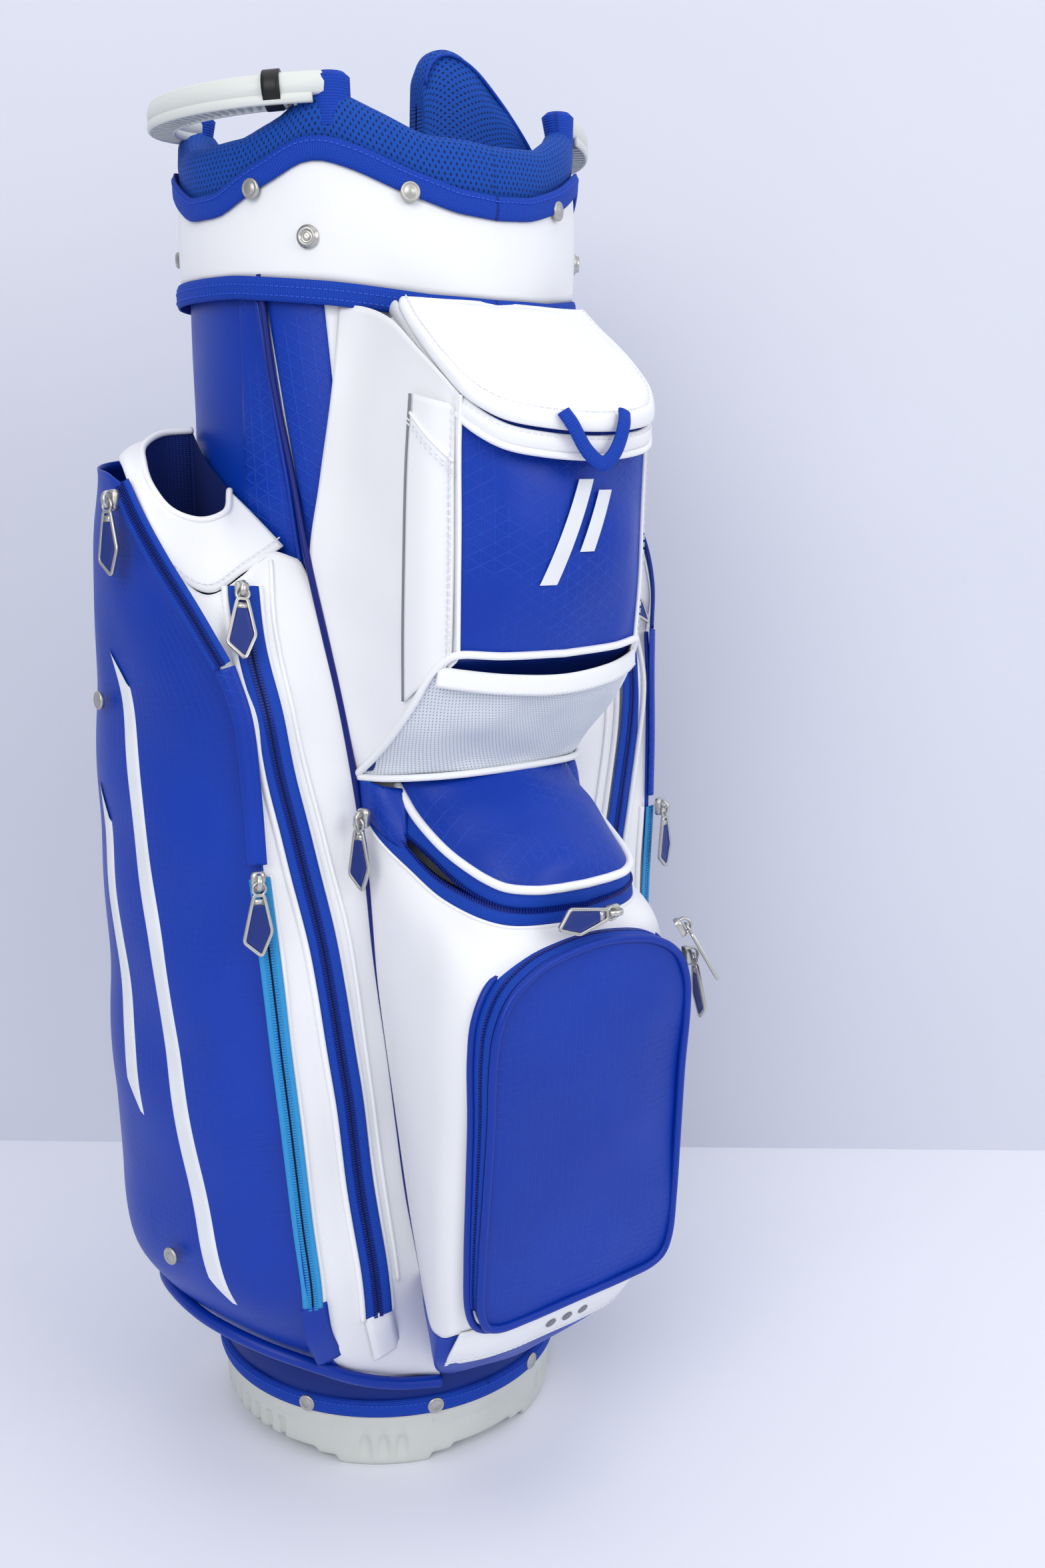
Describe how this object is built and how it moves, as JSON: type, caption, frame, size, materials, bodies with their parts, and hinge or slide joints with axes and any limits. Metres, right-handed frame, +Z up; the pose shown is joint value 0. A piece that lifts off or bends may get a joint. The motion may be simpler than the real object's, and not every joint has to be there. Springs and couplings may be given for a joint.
{
  "type": "golf cart bag",
  "caption": "Free-standing cylindrical golf bag with a moulded base, padded divided mouth, side handles and zipped, flapped and mesh pockets.",
  "frame": {"origin": "on the floor, on the barrel's axis", "axes": "+Z up along the barrel, -Y towards the front pockets"},
  "size_m": [0.4057, 0.3624, 0.905],
  "materials": {
    "base_plastic": "satin",
    "blue_fabric": "matte",
    "webbing": "matte",
    "metal_cap": "satin",
    "stud_metal": "satin",
    "liner": "matte",
    "divider_cloth": "matte",
    "spacer_mesh": "matte",
    "handle_plastic": "satin",
    "black_band": "satin",
    "white_leather": "satin",
    "knit_mesh": "matte",
    "zip_tape": "matte",
    "zip_metal": "satin"
  },
  "bodies": {
    "bag": {"base_moulding": "base_plastic", "skirt": "blue_fabric", "outer_cover": "blue_fabric", "back_panel": "blue_fabric", "ball_pocket": "blue_fabric", "skirt_binding": "webbing", "collar_top_binding": "webbing", "collar_bottom_binding": "webbing", "handle_wraps": "webbing", "base_rivets": "metal_cap", "collar_rivets": "metal_cap", "side_eyelets": "metal_cap", "hood_studs": "stud_metal", "barrel_tube": "liner", "stay_rods": "liner", "top_frame": "liner", "dividers": "divider_cloth", "divider_pads": "spacer_mesh", "raised_divider_pad": "spacer_mesh", "rim_pad": "spacer_mesh", "handle_left": "handle_plastic", "handle_right": "handle_plastic", "handle_clip": "black_band", "collar": "white_leather", "valuables_pocket": "white_leather", "pen_pocket": "white_leather", "mid_pocket": "white_leather", "label_band": "white_leather", "side_pocket_left": "white_leather", "side_pocket_right": "white_leather", "mesh_pocket": "knit_mesh", "side_zips_left": "zip_tape", "side_zips_right": "zip_tape", "mid_zip": "zip_tape", "ball_zip": "zip_tape"},
    "valuables_flap": {"valuables_flap": "white_leather", "flap_pull_loop": "webbing"},
    "mid_lid": {"mid_lid": "blue_fabric"},
    "ball_door": {"ball_door": "blue_fabric"},
    "outer_slider_left": {"outer_slider_left": "zip_metal"},
    "outer_pull_left": {"outer_pull_left": "zip_metal"},
    "outer_slider_right": {"outer_slider_right": "zip_metal"},
    "outer_pull_right": {"outer_pull_right": "zip_metal"},
    "long_slider_left": {"long_slider_left": "zip_metal"},
    "long_pull_left": {"long_pull_left": "zip_metal"},
    "long_slider_right": {"long_slider_right": "zip_metal"},
    "long_pull_right": {"long_pull_right": "zip_metal"},
    "cyan_slider_left": {"cyan_slider_left": "zip_metal"},
    "cyan_pull_left": {"cyan_pull_left": "zip_metal"},
    "cyan_slider_right": {"cyan_slider_right": "zip_metal"},
    "cyan_pull_right": {"cyan_pull_right": "zip_metal"},
    "mid_left_slider": {"mid_left_slider": "zip_metal"},
    "mid_left_pull": {"mid_left_pull": "zip_metal"},
    "mid_front_slider": {"mid_front_slider": "zip_metal"},
    "mid_front_pull": {"mid_front_pull": "zip_metal"},
    "ball_top_slider": {"ball_top_slider": "zip_metal"},
    "ball_top_pull": {"ball_top_pull": "zip_metal"},
    "ball_side_slider": {"ball_side_slider": "zip_metal"},
    "ball_side_pull": {"ball_side_pull": "zip_metal"}
  },
  "joints": [
    {"name": "valuables_flap_hinge", "type": "hinge", "parent": "bag", "child": "valuables_flap", "pos_m": [0, -0.1296, 0.744], "axis": [-1, 0, 0], "range_deg": [0, 55]},
    {"name": "mid_lid_hinge", "type": "hinge", "parent": "bag", "child": "mid_lid", "pos_m": [0, -0.1235, 0.4785], "axis": [-1, 0, 0], "range_deg": [0, 20]},
    {"name": "ball_door_hinge", "type": "hinge", "parent": "bag", "child": "ball_door", "pos_m": [0, -0.2056, 0.1575], "axis": [1, 0, 0], "range_deg": [0, 80]},
    {"name": "outer_slider_left_travel", "type": "slide", "parent": "bag", "child": "outer_slider_left", "axis": [0.1892, -0.4979, -0.8464], "range_m": [0, 0.11]},
    {"name": "outer_pull_left_swing", "type": "hinge", "parent": "outer_slider_left", "child": "outer_pull_left", "pos_m": [-0.19779, -0.01745, 0.64058], "axis": [-0.2505, 0.9633, -0.0963], "range_deg": [0, 120]},
    {"name": "outer_slider_right_travel", "type": "slide", "parent": "bag", "child": "outer_slider_right", "axis": [-0.1892, -0.4979, -0.8464], "range_m": [0, 0.11]},
    {"name": "outer_pull_right_swing", "type": "hinge", "parent": "outer_slider_right", "child": "outer_pull_right", "pos_m": [0.19779, -0.01745, 0.64058], "axis": [-0.2505, -0.9633, 0.0963], "range_deg": [0, 120]},
    {"name": "long_slider_left_travel", "type": "hinge", "parent": "bag", "child": "long_slider_left", "pos_m": [0, 0.039, 0.499], "axis": [1, 0, 0], "range_deg": [0, 26]},
    {"name": "long_pull_left_swing", "type": "hinge", "parent": "long_slider_left", "child": "long_pull_left", "pos_m": [-0.14339, -0.07458, 0.59189], "axis": [-0.9259, 0.3551, 0.1288], "range_deg": [0, 120]},
    {"name": "long_slider_right_travel", "type": "hinge", "parent": "bag", "child": "long_slider_right", "pos_m": [0, 0.039, 0.499], "axis": [1, 0, 0], "range_deg": [0, 26]},
    {"name": "long_pull_right_swing", "type": "hinge", "parent": "long_slider_right", "child": "long_pull_right", "pos_m": [0.14339, -0.07458, 0.59189], "axis": [-0.9259, -0.3551, -0.1288], "range_deg": [0, 120]},
    {"name": "cyan_slider_left_travel", "type": "slide", "parent": "bag", "child": "cyan_slider_left", "axis": [0.0851, -0.035, -0.9958], "range_m": [0, 0.26]},
    {"name": "cyan_pull_left_swing", "type": "hinge", "parent": "cyan_slider_left", "child": "cyan_pull_left", "pos_m": [-0.15898, -0.11266, 0.428], "axis": [-0.9428, 0.33, 0.0471], "range_deg": [0, 120]},
    {"name": "cyan_slider_right_travel", "type": "slide", "parent": "bag", "child": "cyan_slider_right", "axis": [-0.0851, -0.035, -0.9958], "range_m": [0, 0.26]},
    {"name": "cyan_pull_right_swing", "type": "hinge", "parent": "cyan_slider_right", "child": "cyan_pull_right", "pos_m": [0.15898, -0.11266, 0.428], "axis": [-0.9428, -0.33, -0.0471], "range_deg": [0, 120]},
    {"name": "mid_left_slider_travel", "type": "slide", "parent": "bag", "child": "mid_left_slider", "axis": [0.0502, -0.8634, -0.502], "range_m": [0, 0.05]},
    {"name": "mid_left_pull_swing", "type": "hinge", "parent": "mid_left_slider", "child": "mid_left_pull", "pos_m": [-0.09232, -0.11346, 0.456], "axis": [-0.2425, 0.9701, 0], "range_deg": [0, 120]},
    {"name": "mid_front_slider_travel", "type": "slide", "parent": "bag", "child": "mid_front_slider", "axis": [-1, 0, 0], "range_m": [0, 0.05]},
    {"name": "mid_front_pull_swing", "type": "hinge", "parent": "mid_front_slider", "child": "mid_front_pull", "pos_m": [0.012, -0.22647, 0.4076], "axis": [0, 0.0995, 0.995], "range_deg": [0, 70]},
    {"name": "ball_top_slider_travel", "type": "hinge", "parent": "bag", "child": "ball_top_slider", "pos_m": [0.035, -0.214, 0.345], "axis": [0, -1, 0], "range_deg": [0, 20]},
    {"name": "ball_top_pull_swing", "type": "hinge", "parent": "ball_top_slider", "child": "ball_top_pull", "pos_m": [0.07734, -0.21884, 0.38602], "axis": [-0.5451, -0.8383, -0.003], "range_deg": [0, 60]},
    {"name": "ball_side_slider_travel", "type": "slide", "parent": "bag", "child": "ball_side_slider", "axis": [0, 0.0995, -0.995], "range_m": [0, 0.16]},
    {"name": "ball_side_pull_swing", "type": "hinge", "parent": "ball_side_slider", "child": "ball_side_pull", "pos_m": [0.08956, -0.21406, 0.36291], "axis": [-0.352, -0.9352, 0.0392], "range_deg": [0, 70]}
  ]
}
